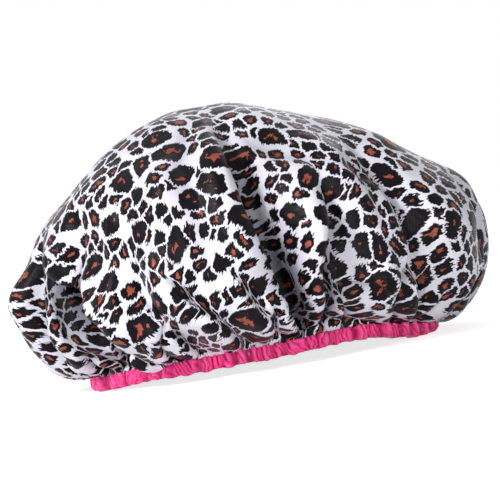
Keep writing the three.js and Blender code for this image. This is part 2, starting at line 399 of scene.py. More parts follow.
def crease_height(aside, wall, slope):
    """Height across a crease 1 deep, with its valley at nought, its wall before that and its slope after."""
    past = np.clip(-aside / wall - 1, 0, None)
    ridge = RIDGE_HIGH * np.exp(-(past / 2) ** 2)
    before = np.where(aside > -wall, -1 + (1 + RIDGE_HIGH) * eased(-aside / wall, 0, 1), ridge)
    return np.where(aside < 0, before, -np.exp(-np.clip(aside, 0, None) / slope))


def beside_line(x, y, corners):
    """How far each point lies beside a line of corners, less than nought on the wall's side, how far along
    the line that is, and the line's length."""
    nearest, aside, run = np.full(len(x), np.inf), np.zeros(len(x)), np.zeros(len(x))
    walked = 0
    for (x0, y0), (x1, y1) in zip(corners, corners[1:]):
        size = np.hypot(x1 - x0, y1 - y0)
        way = np.clip(((x - x0) * (x1 - x0) + (y - y0) * (y1 - y0)) / size ** 2, 0, 1)
        far = np.hypot(x - x0 - way * (x1 - x0), y - y0 - way * (y1 - y0))
        side = np.where((x1 - x0) * (y - y0) - (y1 - y0) * (x - x0) > 0, -1, 1)
        closer = far < nearest
        nearest = np.where(closer, far, nearest)
        aside = np.where(closer, side * far, aside)
        run = np.where(closer, walked + way * size, run)
        walked = walked + size
    return aside, run, walked


def crease_relief(sizes, points, way, share, spread):
    """How far each point of the cloth stands out because of the creases, less than nought in their valleys,
    and how far it leans round the opening, because a ridge leans over its valley."""
    degrees = np.degrees(angle_at(sizes, way))
    per_degree = np.hypot(points[:, 0] - CENTRE.x, points[:, 1] - CENTRE.y) * math.pi / 180
    relief, shift = np.zeros(len(share)), np.zeros(len(share))
    for depth, wall, slope, line in all_creases():
        at, level = np.array(line).T
        touched = np.flatnonzero(share > level.min() - CREASE_MARGIN)
        wide = per_degree[touched]
        corners = [((a - at.mean()) * wide, down * sizes.cloth_radius) for a, down in line]
        aside, run, walked = beside_line(wrapped(degrees[touched] - at.mean()) * wide,
                                         share[touched] * sizes.cloth_radius, corners)
        fade = 1.0
        if level[0] < NECK:
            fade = fade * eased(run, 0, OPEN_END * walked)
        if level[-1] < NECK:
            fade = fade * eased(walked - run, 0, OPEN_END * walked)
        relief[touched] += depth * fade * crease_height(aside, wall * spread, slope * spread)
        drop = level[-1] - level[0]
        lean = RIDGE_LEAN * depth * np.sign(drop) * min(abs(drop) / LEANING_DROP, 1)
        shift[touched] += lean * fade * np.exp(-(aside / wall + 0.8) ** 2)
    shallow = 1 - 0.9 * eased(share, NECK, 0.98)
    return (relief + PLUMP * eased(share, 0.72, 0.9)) * shallow, shift * shallow


def fold_push(sizes, points, way, share, climb, flat):
    """How far each point is pushed in before the cloth settles: main folds, creases and some crumples."""
    degrees = np.degrees(angle_at(sizes, way))
    dome = np.clip(climb - 1, 0, 1)
    push = -SETTLED_SHARE * crease_relief(sizes, points, way, share, 1.4)[0]
    for at, drift, depth, reach in MAIN_FOLDS:
        aside = wrapped(degrees - at - drift * eased(climb, 0, 1.3))
        strength = np.where(climb <= 1, 0.16 + 0.84 * eased(climb, 0, 1), 1 - eased(dome, reach / 4, reach))
        width = np.where(aside < 0, FOLD_WIDE_BEFORE, FOLD_WIDE_AFTER)
        push += sizes.fold_depth * depth * strength * np.exp(-(np.abs(aside) / width) ** 1.3)
    push += crumples(flat) * eased(climb, 0.2, 0.9) * (1 - 0.5 * eased(climb, 1.3, 1.8))
    return np.where(climb <= 0, 0, push * eased(climb, 0, 0.2))


def flat_lengths(sizes, share, way):
    """A turned surface whose lengths are the flat cloth's, but drawn in where the hem is gathered small."""
    rings = np.arange(CLOTH_RINGS + 1) / CLOTH_RINGS
    radius = sizes.cloth_radius * rings * (1 - 0.2 * eased(rings, 0.87, 1))
    drop = np.sqrt(np.clip((sizes.cloth_radius / CLOTH_RINGS) ** 2 - np.diff(radius) ** 2, 0, None))
    high = -np.concatenate([[0], np.cumsum(drop)])
    k = np.rint(share * CLOTH_RINGS).astype(int)
    return np.column_stack([radius[k, None] * on_circle(way), high[k]])


def mesh_object(name, points, faces):
    """A new mesh object from points and faces, smooth shaded, alone in the selection."""
    bpy.ops.object.select_all(action="DESELECT")
    mesh = bpy.data.meshes.new(name)
    mesh.from_pydata(np.asarray(points).tolist(), [], faces)
    mesh.shade_smooth()
    piece = bpy.data.objects.new(name, mesh)
    bpy.context.scene.collection.objects.link(piece)
    bpy.context.view_layer.objects.active = piece
    piece.select_set(True)
    return piece


def read_rows(items, name, size, kind=float):
    """One property of all the vertices, corners or faces of a mesh, a row for each."""
    values = np.empty(len(items) * size, kind)
    items.foreach_get(name, values)
    return values.reshape(-1, size)


def coordinates(mesh):
    return read_rows(mesh.vertices, "co", 3)


def normals(mesh):
    return read_rows(mesh.vertices, "normal", 3)


def corner_vertices(mesh):
    return read_rows(mesh.loops, "vertex_index", 1, int)[:, 0]


def face_corners(mesh):
    return [tuple(face.vertices) for face in mesh.polygons]


def write_coordinates(mesh, points):
    mesh.vertices.foreach_set("co", np.asarray(points).ravel())
    mesh.update()


def turn_faces_out():
    """Turns the faces of the active object outward."""
    bpy.ops.object.mode_set(mode="EDIT")
    bpy.ops.mesh.select_all(action="SELECT")
    bpy.ops.mesh.normals_make_consistent(inside=False)
    bpy.ops.object.mode_set(mode="OBJECT")


def settle(piece, rest_points, climb):
    """Lets the gathered cloth find its folds, held in the channel and drawn weakly to its first shape."""
    start = coordinates(piece.data)
    write_coordinates(piece.data, start * SETTLE_SCALE)
    piece.shape_key_add(name="worn")
    flat_key = piece.shape_key_add(name="flat")
    flat_key.data.foreach_set("co", (rest_points * SETTLE_SCALE).ravel())
    flat_key.value = 0
    held = piece.vertex_groups.new(name="held")
    held.add(np.flatnonzero(climb < HELD_BELOW).tolist(), 1.0, "REPLACE")
    held.add(np.flatnonzero(climb >= HELD_BELOW).tolist(), LOOSE_WEIGHT, "REPLACE")
    cloth = piece.modifiers.new("settle", "CLOTH")
    cloth.settings.quality = 5
    cloth.settings.mass = 0.2
    for name in ("tension", "compression"):
        setattr(cloth.settings, name + "_stiffness", 15)
        setattr(cloth.settings, name + "_damping", 5)
    cloth.settings.shear_stiffness = 4.5
    cloth.settings.bending_stiffness = 0.02
    cloth.settings.vertex_group_mass = held.name
    cloth.settings.pin_stiffness = 1
    cloth.settings.rest_shape_key = flat_key
    cloth.settings.use_pressure = True
    cloth.settings.uniform_pressure_force = 0.6
    cloth.settings.effector_weights.gravity = 0
    cloth.collision_settings.use_collision = False
    cloth.collision_settings.use_self_collision = False
    cloth.point_cache.frame_start = 1
    cloth.point_cache.frame_end = SETTLE_FRAMES
    for step in range(1, SETTLE_FRAMES + 1):
        bpy.context.scene.frame_set(step)
    evaluated = piece.evaluated_get(bpy.context.evaluated_depsgraph_get())
    settled = coordinates(evaluated.data) / SETTLE_SCALE
    piece.modifiers.remove(cloth)
    piece.shape_key_clear()
    piece.vertex_groups.clear()
    bpy.context.scene.frame_set(1)
    write_coordinates(piece.data, settled)
    return start, settled


def add_cloth_uv(piece, flat, radius):
    """The flat cloth's own coordinates as a UV map, so that the print bends and gathers with it."""
    layer = piece.data.uv_layers.new(name=CLOTH_UV)
    layer.data.foreach_set("uv", (0.5 + flat[corner_vertices(piece.data)] / (2 * radius)).ravel())


def add_attribute(mesh, name, values):
    mesh.attributes.new(name, "FLOAT", "POINT").data.foreach_set("value", np.asarray(values, float))


def vertex_uv(mesh):
    """The UV of each vertex, from any of its corners."""
    found = np.empty((len(mesh.vertices), 2))
    found[corner_vertices(mesh)] = read_rows(mesh.uv_layers[CLOTH_UV].data, "uv", 2)
    return found


def ripple(rng, way, low, high):
    """A smooth closed random curve round the ring, about 1 high, of all the waves from low up to high."""
    made = np.zeros(np.shape(way))
    for waves in range(low, high):
        made += np.cos(2 * np.pi * (waves * way + rng.uniform())) * rng.uniform(0.4, 1)
    return made / math.sqrt(0.27 * (high - low))


def apply_subdivision(piece):
    smooth = piece.modifiers.new("smooth", "SUBSURF")
    smooth.levels = smooth.render_levels = 1
    bpy.ops.object.modifier_apply(modifier=smooth.name)


def crown_sheet(sizes):
    """The gathered cloth after settling: its points, faces and flat coordinates."""
    share, way, faces = cloth_disc(CLOTH_RINGS)
    angle = angle_at(sizes, way)
    climb = cloth_climb(sizes, share, angle)
    flat = sizes.cloth_radius * share[:, None] * on_circle(way)
    inward = np.stack([-np.cos(angle), -np.sin(angle), -0.8 * np.clip(climb - 1, 0, 1)], -1)
    inward /= np.linalg.norm(inward, axis=1)[:, None]
    plain = crown_point(sizes, angle, climb)
    start = plain + inward * fold_push(sizes, plain, way, share, climb, flat)[:, None]
    piece = mesh_object("settling_cloth", start, faces)
    first, settled = settle(piece, flat_lengths(sizes, share, way), climb)
    loose = eased(climb, -0.1, 0.12)[:, None]
    start = first + (settled - first) * loose
    bpy.data.objects.remove(piece)
    return start, faces, flat


def creased(sizes, mesh):
    """The settled cloth with the creases' sharp parts put in, square to its surface, and their relief."""
    way, share = cloth_place(mesh)
    points, square = coordinates(mesh), normals(mesh)
    relief, shift = crease_relief(sizes, points, way, share, 1)
    turned = math.radians(1) + angle_at(sizes, way)
    along = np.stack([-np.sin(turned), np.cos(turned), 0 * turned], -1)
    along -= square * (along * square).sum(1)[:, None]
    return points + square * (1 - SETTLED_SHARE) * relief[:, None] + along * shift[:, None], relief


def cloth_place(mesh):
    """Each vertex's share of the way round the flat cloth, and of the way from its middle to its edge."""
    uv = vertex_uv(mesh) - 0.5
    return np.arctan2(uv[:, 1], uv[:, 0]) / (2 * np.pi) % 1, np.linalg.norm(uv, axis=1) * 2


def print_places(sizes):
    """The print's own way round, as a table by share of the cloth and way round it. The print keeps its scale
    on the faces between the creases, and what the gathers take up is hidden down in the valleys, as in the
    real cap."""
    around_way = np.arange(PRINT_COLUMNS) / PRINT_COLUMNS
    degrees = np.degrees(angle_at(sizes, around_way))
    coarse = around_way[::16]
    angle = angle_at(sizes, coarse)
    gathers = []
    for _, wall, slope, line in all_creases():
        at, level = np.array(sorted(line, key=lambda place: place[1])).T
        if level[-1] >= NECK:
            gathers.append((wall, slope, at, level))
    rows = []
    for share in np.linspace(0, 1, PRINT_ROWS):
        row = around_way.copy()
        if share > 0.45:
            ring = crown_point(sizes, angle, cloth_climb(sizes, np.full(len(angle), share), angle))
            worn = np.linalg.norm(np.roll(ring, -1, 0) - ring, axis=1)
            cloth = 2 * np.pi * sizes.cloth_radius * share / len(angle)
            # The way over the ridges and valleys is longer than the way round the unfolded crown.
            ridges = 1.1 + 0.3 * eased(share, 0.7, 0.92)
            hidden = (1 - np.minimum(ridges * worn / cloth, 1)) * eased(share, 0.5, 0.6)
            hidden = np.interp(around_way, coarse, hidden, period=1) / PRINT_COLUMNS
            pulls, steps = [], []
            for wall, slope, at, level in gathers:
                past = around_way - np.interp(np.interp(share, level, at) % 360, degrees, around_way)
                turns = np.round(past)
                past -= turns
                pulls.append(eased(share, level[0], level[0] + 0.12) * np.exp(-(past / GATHER_WIDTH) ** 2))
                steps.append(turns + eased(past * worn.sum(), -0.6 * wall, 0.2 * slope))
            # Each point's hidden cloth goes to the gathers near it, and a little stays where it is.
            total = np.sum(pulls, 0) + EVEN_PULL
            row -= np.cumsum(hidden * (1 - EVEN_PULL / total))
            for pull, step in zip(pulls, steps):
                row += (hidden * pull / total).sum() * step
        rows.append(row)
    return np.array(rows)


def gather_print(sizes, mesh):
    """Moves the print round the cloth to its places, and gives how much it is squeezed at each point."""
    way, share = cloth_place(mesh)
    table = print_places(sizes)
    table = np.concatenate([table, table[:, :1] + 1], 1)
    row, column = share.clip(0, 1) * (PRINT_ROWS - 1), way * PRINT_COLUMNS
    i, j = np.minimum(row.astype(int), PRINT_ROWS - 2), np.minimum(column.astype(int), PRINT_COLUMNS - 1)
    down, along = row - i, column - j

    def looked_up(values):
        return ((1 - down) * ((1 - along) * values[i, j] + along * values[i, j + 1])
                + down * ((1 - along) * values[i + 1, j] + along * values[i + 1, j + 1]))

    uv = 0.5 + 0.5 * share[:, None] * on_circle(looked_up(table))
    mesh.uv_layers[CLOTH_UV].data.foreach_set("uv", uv[corner_vertices(mesh)].ravel())
    return looked_up(np.gradient(table, axis=1) * PRINT_COLUMNS)


class CAP_OT_outer_crown(bpy.types.Operator):
    """Gathers the printed satin disc into the crown, with its folds and its print"""

    bl_idname = "cap.outer_crown"
    bl_label = "Satin Crown"

    def execute(self, context):
        sizes, colours = context.scene.cap_sizes, context.scene.cap_colours
        points, faces, flat = crown_sheet(sizes)
        crown = mesh_object("satin_crown", points, faces)
        add_cloth_uv(crown, flat, sizes.cloth_radius)
        apply_subdivision(crown)
        worn, relief = creased(sizes, crown.data)
        write_coordinates(crown.data, worn)
        squeeze = gather_print(sizes, crown.data)
        # Painted shade: darker where the print is squeezed into a gather and down in deep crease valleys.
        deep = np.maximum(eased(squeeze, 2, 7), eased(-relief, 2 * MM, 13 * MM))
        add_attribute(crown.data, PAINTED_SHADE, deep)
        crown.data.materials.append(leopard_satin(sizes, colours))
        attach(crown, "root")
        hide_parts("outer_crown")
        return {"FINISHED"}


def leopard_satin(sizes, colours):
    """Polyester satin with a printed leopard pattern: near-black spots with rust hearts on white, a faint
    sheen, and painted shade that darkens it down in the gathers."""
    material, tree = new_material("leopard_print_satin")
    cloth = flat_place(tree, 2 * sizes.cloth_radius / MM)
    large, small = sizes.large_spot / MM, sizes.small_spot / MM

    def wander(at, wave, amount, detail=1.0):
        """The point moved by smooth noise of a wave length, by about an amount, both in millimetres."""
        noise = add_node(tree, "TexNoise", {"Vector": at, "Scale": 1 / wave, "Detail": detail},
                         noise_dimensions="2D")
        centred = add_node(tree, "VectorMath", {0: noise.outputs["Color"], 1: (0.5, 0.5, 0.5)},
                           operation="SUBTRACT")
        return add_node(tree, "VectorMath", {0: centred, 1: (amount,) * 3, 2: at}, operation="MULTIPLY_ADD")

    def spots(at, pitch, randomness, channel, radius):
        """Depth inside the nearest spot in millimetres, its place and its chances. Its cell is shrunk by a
        channel and rounded off to a radius. Both are given as how much they vary and the least."""
        shared = {"Vector": at, "Scale": 1 / pitch, "Randomness": randomness}
        near = add_node(tree, "TexVoronoi", shared, voronoi_dimensions="2D", feature="F1").outputs
        edge = add_node(tree, "TexVoronoi", shared, voronoi_dimensions="2D", feature="DISTANCE_TO_EDGE")
        chance = add_node(tree, "SeparateColor", {"Color": near["Color"]}).outputs
        to_edge = add_node(tree, "Math", {0: edge.outputs["Distance"], 1: pitch}, operation="MULTIPLY")
        gap = add_node(tree, "Math", {0: chance["Red"], 1: channel[0], 2: channel[1]},
                       operation="MULTIPLY_ADD")
        inside = add_node(tree, "Math", {0: to_edge, 1: gap}, operation="SUBTRACT")
        reach = add_node(tree, "Math", {0: chance["Blue"], 1: radius[0] * pitch, 2: radius[1] * pitch},
                         operation="MULTIPLY_ADD")
        circle = add_node(tree, "Math", {0: near["Distance"], 1: -pitch, 2: reach}, operation="MULTIPLY_ADD")
        depth = add_node(tree, "Math", {0: inside, 1: circle, 2: 2.0}, operation="SMOOTH_MIN")
        return depth, near["Position"], chance

    def large_spots(at):
        """Depth inside the nearest large spot, far below nought where a cell has none."""
        none = 20
        inside, _, chance = spots(at, large, 0.8, (0.7, 0.8), (0.18, 0.36))
        present = add_node(tree, "Math", {0: chance["Green"], 1: 0.46}, operation="LESS_THAN")
        raised = add_node(tree, "Math", {0: inside, 1: none}, operation="ADD")
        return add_node(tree, "Math", {0: raised, 1: present, 2: -none}, operation="MULTIPLY_ADD")

    def inked(inside, blotch, heart_depth):
        """Where a spot is dark, and where its heart is, which the blotches break up, both from 0 to 1."""
        dark = add_node(tree, "MapRange", {"Value": inside, "From Min": -0.15, "From Max": 0.2},
                        interpolation_type="SMOOTHSTEP")
        heart = add_node(tree, "Math", {0: inside, 1: blotch}, operation="ADD")
        heart = add_node(tree, "MapRange", {"Value": heart, "From Min": heart_depth,
                                            "From Max": heart_depth + 0.4}, interpolation_type="SMOOTHSTEP")
        return dark, heart

    # Hairs: noise stretched along the coat's direction pushes the edges to and fro along it.
    coat = math.radians(62)
    push = 4.6
    turned = add_node(tree, "Mapping", {"Vector": cloth, "Rotation": (0, 0, -coat)})
    stretched = add_node(tree, "Mapping", {"Vector": turned, "Scale": (0.24, 0.95, 1)})
    hair = add_node(tree, "TexNoise", {"Vector": stretched, "Scale": 1.0, "Detail": 1.5, "Roughness": 0.6},
                    noise_dimensions="2D")
    hair = add_node(tree, "Math", {0: hair, 1: push, 2: -push / 2}, operation="MULTIPLY_ADD")
    along = add_node(tree, "VectorMath", {0: (math.cos(coat), math.sin(coat), 0), "Scale": hair},
                     operation="SCALE")
    ragged = add_node(tree, "VectorMath", {0: wander(wander(cloth, 14, 6.5), 3, 2.6, 1.5), 1: along},
                      operation="ADD")

    # Small spots fill the ground that the large ones leave, and keep a channel between them.
    inside_l = large_spots(ragged)
    inside_s, place_s, chance_s = spots(ragged, small, 0.68, (0.35, 0.6), (0.14, 0.45))
    clear = add_node(tree, "Math", {0: large_spots(place_s), 1: -0.5}, operation="LESS_THAN")
    gap = add_node(tree, "Math", {0: -1.3, 1: inside_l}, operation="SUBTRACT")
    inside_s = add_node(tree, "Math", {0: inside_s, 1: gap}, operation="MINIMUM")

    # Rust hearts, off centre, well inside the large spots, and missing from a few of the small ones.
    blotch = add_node(tree, "TexNoise", {"Vector": cloth, "Scale": 1 / 4, "Detail": 2.0},
                      noise_dimensions="2D")
    blotch = add_node(tree, "Math", {0: blotch, 1: 9.0, 2: -4.5}, operation="MULTIPLY_ADD")
    small_blotch = add_node(tree, "Math", {0: blotch, 1: 0.5}, operation="MULTIPLY")
    dark_l, heart_l = inked(inside_l, blotch, 5.8)
    dark_s, heart_s = inked(inside_s, small_blotch, 2.85)
    dark_s = add_node(tree, "Math", {0: dark_s, 1: clear}, operation="MULTIPLY")
    dark = add_node(tree, "Math", {0: dark_l, 1: dark_s}, operation="MAXIMUM")
    within = add_node(tree, "MapRange", {"Value": inside_l, "From Min": 2.6, "From Max": 3.0},
                      interpolation_type="SMOOTHSTEP")
    heart_l = add_node(tree, "Math", {0: heart_l, 1: within}, operation="MULTIPLY")
    chosen = add_node(tree, "Math", {0: chance_s["Green"], 1: 0.15}, operation="GREATER_THAN")
    chosen = add_node(tree, "Math", {0: chosen, 1: clear}, operation="MULTIPLY")
    heart_s = add_node(tree, "Math", {0: heart_s, 1: chosen}, operation="MULTIPLY")
    heart = add_node(tree, "Math", {0: heart_l, 1: heart_s}, operation="MAXIMUM")

    # Ink depth varies a little from place to place.
    shade = add_node(tree, "TexNoise", {"Vector": cloth, "Scale": 1 / 30, "Detail": 3.0},
                     noise_dimensions="2D")
    tints = []
    for value, low, high, first, second in (
        (shade, 0.3, 0.8, colours.ground[:], linear("#E4E0EF")),
        (shade, 0.35, 0.7, colours.spot[:], linear("#130F16")),
        (blotch, -1.5, 2.5, linear("#8A443A"), colours.heart[:]),
    ):
        share = add_node(tree, "MapRange", {"Value": value, "From Min": low, "From Max": high},
                         interpolation_type="SMOOTHSTEP")
        tints.append(add_node(tree, "MixRGB", {"Fac": share, "Color1": first, "Color2": second}))
    ground, ink, rust = tints
    spot = add_node(tree, "MixRGB", {"Fac": heart, "Color1": ink, "Color2": rust})
    printed = add_node(tree, "MixRGB", {"Fac": dark, "Color1": ground, "Color2": spot})
    # Painted shade: down in a gather the real cloth goes on in, out of the light, further than the modelled
    # valley, so the print is darkened there towards grey-violet.
    tuck = add_node(tree, "Attribute", attribute_name=PAINTED_SHADE)
    tuck = add_node(tree, "Math", {0: tuck.outputs["Fac"], 1: 0.8}, operation="MULTIPLY")
    printed = add_node(tree, "MixRGB", {"Fac": tuck, "Color1": printed, "Color2": linear("#4A4556")},
                       blend_type="MULTIPLY")

    # Crisp little creases across the drawn-in cloth, and the satin's diagonal, drawn coarser to show at all.
    crease = add_node(tree, "TexNoise", {"Vector": wander(cloth, 20, 14), "Scale": 1 / 11, "Detail": 2.5,
                                         "Roughness": 0.55}, noise_dimensions="2D")
    twill = add_node(tree, "TexWave", {"Vector": cloth, "Scale": 1 / 3, "Distortion": 0.4},
                     wave_type="BANDS", bands_direction="DIAGONAL")
    relief = add_node(tree, "Math", {0: twill.outputs["Fac"], 1: 0.04, 2: crease}, operation="MULTIPLY_ADD")
    satin = add_node(tree, "BsdfPrincipled", {
        "Base Color": printed, "Roughness": 0.4, "IOR": 1.5, "Specular IOR Level": 0.09,
        "Sheen Weight": 0.02, "Sheen Roughness": 0.35, "Sheen Tint": linear("#F7F5FF"),
        "Normal": add_node(tree, "Bump", {"Height": relief, "Strength": 0.55, "Distance": 1.6 * MM}),
    })
    add_node(tree, "OutputMaterial", {"Surface": satin})
    return material


class CAP_OT_inner_lining(bpy.types.Operator):
    """Hangs the waterproof lining inside the satin crown"""

    bl_idname = "cap.inner_lining"
    bl_label = "Waterproof Lining"

    def execute(self, context):
        sizes, colours = context.scene.cap_sizes, context.scene.cap_colours
        crown = bpy.data.objects["satin_crown"].data
        lining = mesh_object("film_lining", coordinates(crown), face_corners(crown))
        add_cloth_uv(lining, sizes.cloth_radius * 2 * (vertex_uv(crown) - 0.5), sizes.cloth_radius)
        inside = coordinates(lining.data) - normals(lining.data) * sizes.lining_gap
        write_coordinates(lining.data, inside)
        lining.data.flip_normals()
        lining.data.materials.append(milky_film(sizes, colours))
        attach(lining, "root")
        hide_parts("inner_lining")
        return {"FINISHED"}


def milky_film(sizes, colours):
    """Soft vinyl film: milky, slightly glossy and finely crinkled, so that it catches small glints."""
    material, tree = new_material("milky_vinyl_film")
    film = flat_place(tree, 2 * sizes.cloth_radius / MM)
    crinkle = add_node(tree, "TexNoise", {"Vector": film, "Scale": 1 / 7, "Detail": 4.0, "Distortion": 1.2})
    cloud = add_node(tree, "TexNoise", {"Vector": film, "Scale": 1 / 45, "Detail": 2.0})
    tint = add_node(tree, "MixRGB", {"Fac": cloud, "Color1": colours.film[:], "Color2": linear("#D5DCE0")})
    vinyl = add_node(tree, "BsdfPrincipled", {
        "Base Color": tint, "Roughness": 0.3, "IOR": 1.53,
        "Normal": add_node(tree, "Bump", {"Height": crinkle, "Strength": 0.5, "Distance": 1.2 * MM}),
    })
    add_node(tree, "OutputMaterial", {"Surface": vinyl})
    return material


def ruche(sizes, way, side):
    """How far the gathered strip stands out from its mean face: 0 in a groove and about 1 on a rib. Side goes
    from 0 at the foot to 1 at the lip, and is negative on the head's side."""
    rng = np.random.default_rng(RUCHE_SEED)
    count = round(ring_length(sizes) / sizes.ruche_pitch)
    aside = 0.42 * ripple(rng, way, 7, 40)
    slant = 0.8 + 0.9 * ripple(rng, way, 4, 26)
    bend = 0.22 * ripple(rng, way, 20, 70)
    phase = count * way + aside + slant * (np.abs(side) - 0.5) + bend * np.sin(3 * np.pi * side)
    phase = phase + np.where(side < 0, 0.37, 0)
    rib = np.abs(np.cos(np.pi * phase)) ** 0.65
    second = np.abs(np.cos(np.pi * (1.7 * count * way + 2 * aside + slant * side))) ** 0.8
    strong = 0.85 + 0.36 * ripple(rng, way, 30, 90)
    return np.clip(0.8 * rib * strong + 0.26 * second - 0.1, 0, 1.25)


def band_section(sizes, turn, rib):
    """A point of the binding's section at a turn round it, with its ribs: out, high. The turn starts at the
    outer lip and goes down, along the foot and up the head's side."""
    high = BAND_TALL / 2
    c, s = np.cos(turn), np.sin(turn)
    rounding = np.where(s < 0, 0.45, 0.2)
    groove = (sizes.channel_width / 2 + GROOVE_WALL) * np.abs(c) ** rounding
    out = np.sign(c) * (groove + sizes.ruche_depth * rib * np.abs(c) ** 0.5)
    level = high + np.sign(s) * np.abs(s) ** 0.75 * high
    level = level + sizes.ruche_depth * np.where(s > 0, 0.5 * s * (rib - 0.5), -0.2 * s * (1 - rib))
    return out, level


def band_rib(sizes, way, turn):
    """How far a rib stands out at a turn of the section."""
    return ruche(sizes, way, np.where(np.cos(turn) > 0, 1, -1) * (np.sin(turn) + 1) / 2)


def band_points(sizes, way, turn):
    """Points of the binding's outer surface at shares of the way round and turns of the section. Its foot
    stays just clear of the floor."""
    out, high = band_section(sizes, turn, band_rib(sizes, way, turn))
    rng = np.random.default_rng(RIPPLE_SEED)
    out = out + BAND_WANDER * ripple(rng, way, 9, 30)
    high = high + FOOT_WAVE * (1 + ripple(rng, way, 20, 70)) * np.where(np.sin(turn) < 0, -np.sin(turn), 0)
    return hem_point(sizes, angle_at(sizes, way), out, np.clip(high, FOOT_CLEAR, None))


def ring_object(name, rows):
    """A closed ring through rows of points, each row once round the opening, as a new mesh object."""
    steps, size = len(rows[0]), len(rows)
    faces = []
    for step in range(steps):
        here, there = step * size, (step + 1) % steps * size
        for i in range(size):
            j = (i + 1) % size
            faces.append((here + i, here + j, there + j, there + i))
    return mesh_object(name, np.stack(rows, 1).reshape(-1, 3), faces)


def add_ring_uv(piece, rows, around_length):
    """Real lengths along the ring and across its section, as a UV map. The last face closes the section."""
    steps, size = len(rows[0]), len(rows)
    across = np.cumsum(np.linalg.norm(np.diff(np.stack(rows, 1).mean(0), axis=0), axis=1))
    across = np.concatenate([[0], across, [across[-1] + 1 * MM]])
    along = (np.arange(steps)[:, None, None] + np.array([0, 0, 1, 1])) * around_length / steps
    across = across[np.arange(size)[:, None] + np.array([0, 1, 1, 0])]
    uv = np.stack(np.broadcast_arrays(along, across), -1)
    piece.data.uv_layers.new(name=CLOTH_UV).data.foreach_set("uv", uv.ravel())


class CAP_OT_hem_binding(bpy.types.Operator):
    """Ruches the pink satin binding round the opening, folded to a channel that is open to the cloth"""

    bl_idname = "cap.hem_binding"
    bl_label = "Ruched Binding"

    def execute(self, context):
        sizes, colours = context.scene.cap_sizes, context.scene.cap_colours
        steps = 12 * round(ring_length(sizes) / sizes.ruche_pitch)
        turns = np.linspace(LIP_TURN, -math.pi - LIP_TURN, 27)
        way = np.arange(steps) / steps
        rows = [band_points(sizes, way, np.full(steps, turn))[0] for turn in turns]
        ribs = [band_rib(sizes, way, np.full(steps, turn)) for turn in turns]
        wall = sizes.channel_width / 2
        floor_high, bend_high, lip_high = 0.9 * MM, 1.9 * MM, 8.3 * MM
        angle = angle_at(sizes, way)
        for out, high in ((-0.92 * wall, lip_high), (-wall, bend_high), (-0.7 * wall, floor_high),
                          (0.7 * wall, floor_high), (wall, bend_high), (0.92 * wall, lip_high)):
            rows.append(hem_point(sizes, angle, np.full(steps, out), high)[0])
            ribs.append(np.zeros(steps))
        band = ring_object("ruched_binding", rows)
        add_attribute(band.data, RIB, np.stack(ribs, 1).ravel())
        add_ring_uv(band, rows, ring_length(sizes))
        band.data.materials.append(pink_satin(colours))
        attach(band, "root")
        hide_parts("hem_binding")
        return {"FINISHED"}


def pink_satin(colours):
    """Hot pink polyester satin, tightly ruched, with a painted highlight along the ribs and painted shade, a
    darker rose, down in the grooves.
    """
    material, tree = new_material("ruched_pink_satin")
    strip = flat_place(tree, 1 / MM)
    patch = add_node(tree, "TexNoise", {"Vector": strip, "Scale": 1 / 9, "Detail": 2.0})
    tint = add_node(tree, "MixRGB", {"Fac": patch, "Color1": colours.pink[:], "Color2": linear("#FA3D8E")})
    rib = add_node(tree, "Attribute", attribute_name=RIB).outputs["Fac"]
    # Painted shade: the grooves between the ribs are mixed to a darker rose.
    lit = add_node(tree, "MapRange", {"Value": rib, "From Min": 0.05, "From Max": 0.6})
    tint = add_node(tree, "MixRGB", {"Fac": lit, "Color1": linear("#A8064E"), "Color2": tint})
    # Painted highlight: the rib tops are mixed towards pale pink.
    top = add_node(tree, "MapRange", {"Value": rib, "From Min": 0.6, "From Max": 1.1, "To Max": 0.35})
    tint = add_node(tree, "MixRGB", {"Fac": top, "Color1": tint, "Color2": linear("#FF90C2")})
    pucker = add_node(tree, "Mapping", {"Vector": strip, "Scale": (0.9, 0.22, 1)})
    pucker = add_node(tree, "TexNoise", {"Vector": pucker, "Scale": 1.0, "Detail": 2.0})
    satin = add_node(tree, "BsdfPrincipled", {
        "Base Color": tint, "Roughness": 0.27, "IOR": 1.5, "Specular IOR Level": 0.18,
        "Sheen Weight": 0.08, "Sheen Roughness": 0.3, "Sheen Tint": linear("#FFC3DC"),
        "Normal": add_node(tree, "Bump", {"Height": pucker, "Strength": 0.6, "Distance": 0.7 * MM}),
    })
    add_node(tree, "OutputMaterial", {"Surface": satin})
    return material


class CAP_OT_hem_stitches(bpy.types.Operator):
    """Sews the row of stitches below the binding's lip, on its outside and on the head's side"""

    bl_idname = "cap.hem_stitches"
    bl_label = "Stitches"

    def execute(self, context):
        sizes = context.scene.cap_sizes
        bpy.ops.object.select_all(action="DESELECT")
        bpy.ops.mesh.primitive_uv_sphere_add(segments=8, ring_count=6, radius=0.5)
        stitch = context.active_object
        bpy.ops.transform.resize(value=(0.62 * sizes.stitch_pitch, sizes.thread, sizes.thread))
        bpy.ops.object.transform_apply(location=False, rotation=False, scale=True)
        shape, shape_faces = coordinates(stitch.data), face_corners(stitch.data)
        bpy.data.objects.remove(stitch)
        count = round(ring_length(sizes) / sizes.stitch_pitch)
        way = np.arange(count) / count
        points, faces = [], []
        for turn in STITCH_TURNS:
            (at, square), (before, _), (after, _) = (
                band_points(sizes, way + shift / count, np.full(count, turn)) for shift in (0, -0.3, 0.3))
            run = after - before
            run /= np.linalg.norm(run, axis=1)[:, None]
            outward = square * math.copysign(1, math.cos(turn))
            side = np.cross(run, outward)
            middle = at + outward * sizes.thread * 0.2
            for i in range(count):
                start = len(points)
                local = shape[:, :1] * run[i] + shape[:, 1:2] * outward[i] + shape[:, 2:] * side[i]
                points.extend(middle[i] + local)
                faces.extend(tuple(start + v for v in face) for face in shape_faces)
        stitches = mesh_object("hem_stitches", points, faces)
        turn_faces_out()
        stitches.data.materials.append(pink_thread())
        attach(stitches, "root")
        return {"FINISHED"}


